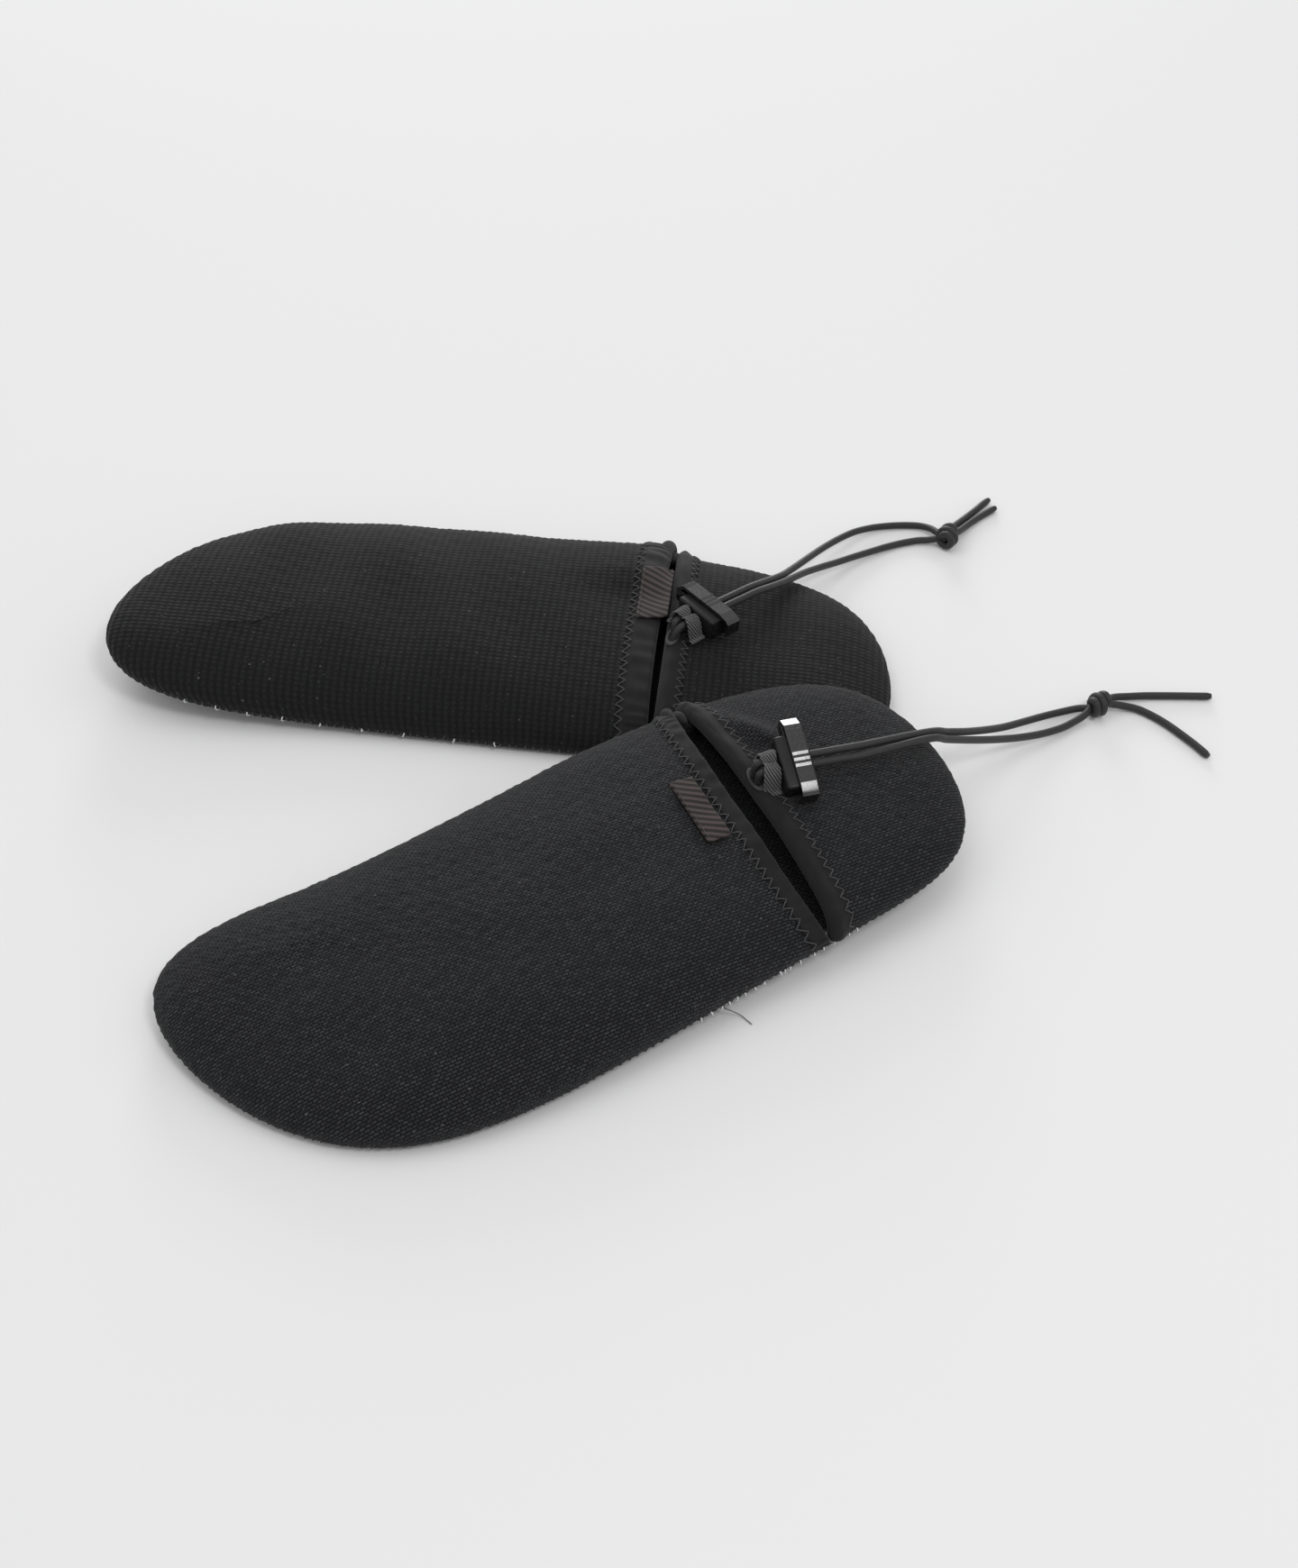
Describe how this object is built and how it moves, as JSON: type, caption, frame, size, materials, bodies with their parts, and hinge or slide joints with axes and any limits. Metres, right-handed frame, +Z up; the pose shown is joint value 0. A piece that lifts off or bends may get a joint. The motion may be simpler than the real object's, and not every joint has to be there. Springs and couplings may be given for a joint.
{
  "type": "neoprene boots",
  "caption": "Pair of low neoprene water boots, left and right, each with a crosswise foot opening, a bungee drawcord and a sprung cord lock.",
  "frame": {"origin": "on the surface the boots lie on, under the middle of the two boots without their free cords", "axes": "+Z up; +X towards the heels and the free cord ends, -X towards the toes; the front boot lies towards -Y with its heel on the rear boot's heel"},
  "size_m": [0.4147, 0.3328, 0.0468],
  "materials": {
    "neoprene_knit": "piqué knit laminated on neoprene, matt",
    "jersey_binding": "smooth elastic jersey, matt",
    "seam_thread": "spun thread",
    "woven_label": "woven satin, chevron stripes",
    "grosgrain": "ribbed ribbon",
    "bungee": "braided sheath",
    "lock_plastic": "moulded, glossy",
    "spring_steel": "drawn wire"
  },
  "bodies": {
    "rear_boot": {"rear_sole_panel": "neoprene_knit", "rear_vamp_panel": "neoprene_knit", "rear_heel_panel": "neoprene_knit", "rear_vamp_hem": "jersey_binding", "rear_heel_collar": "jersey_binding", "rear_perimeter_seam": "seam_thread", "rear_vamp_zigzag": "seam_thread", "rear_collar_zigzag": "seam_thread", "rear_label": "woven_label", "rear_label_stitch": "seam_thread", "rear_cord_guide": "grosgrain", "rear_channel_cord_left": "bungee", "rear_channel_cord_right": "bungee", "rear_cord_lead_a": "bungee", "rear_cord_lead_b": "bungee", "rear_cord_knot": "bungee", "rear_cord_tail_a": "bungee", "rear_cord_tail_b": "bungee"},
    "rear_lock": {"rear_lock_body": "lock_plastic", "rear_lock_spring": "spring_steel"},
    "rear_lock_slider": {"rear_lock_slider": "lock_plastic"},
    "front_boot": {"front_sole_panel": "neoprene_knit", "front_vamp_panel": "neoprene_knit", "front_heel_panel": "neoprene_knit", "front_vamp_hem": "jersey_binding", "front_heel_collar": "jersey_binding", "front_perimeter_seam": "seam_thread", "front_vamp_zigzag": "seam_thread", "front_collar_zigzag": "seam_thread", "front_label": "woven_label", "front_label_stitch": "seam_thread", "front_cord_guide": "grosgrain", "front_channel_cord_left": "bungee", "front_channel_cord_right": "bungee", "front_cord_lead_a": "bungee", "front_cord_lead_b": "bungee", "front_cord_knot": "bungee", "front_cord_tail_a": "bungee", "front_cord_tail_b": "bungee"},
    "front_lock": {"front_lock_body": "lock_plastic", "front_lock_spring": "spring_steel"},
    "front_lock_slider": {"front_lock_slider": "lock_plastic"}
  },
  "joints": [
    {"name": "front_boot_lift", "type": "slide", "parent": "rear_boot", "child": "front_boot", "axis": [0, 0, 1], "range_m": [0, 0.12]},
    {"name": "rear_lock_slide", "type": "slide", "parent": "rear_boot", "child": "rear_lock", "axis": [0.7807, 0.622, -0.06], "range_m": [0, 0.018]},
    {"name": "rear_lock_press", "type": "slide", "parent": "rear_lock", "child": "rear_lock_slider", "axis": [0.6231, -0.7821, 0], "range_m": [0, 0.003], "stiffness_N_per_m": 800, "springref_m": -0.002, "deforming": ["rear_lock_spring"]},
    {"name": "front_lock_slide", "type": "slide", "parent": "front_boot", "child": "front_lock", "axis": [0.9641, 0.265, -0.0188], "range_m": [0, 0.018]},
    {"name": "front_lock_press", "type": "slide", "parent": "front_lock", "child": "front_lock_slider", "axis": [0.2388, -0.8952, -0.3763], "range_m": [0, 0.003], "stiffness_N_per_m": 800, "springref_m": -0.002, "deforming": ["front_lock_spring"]}
  ]
}
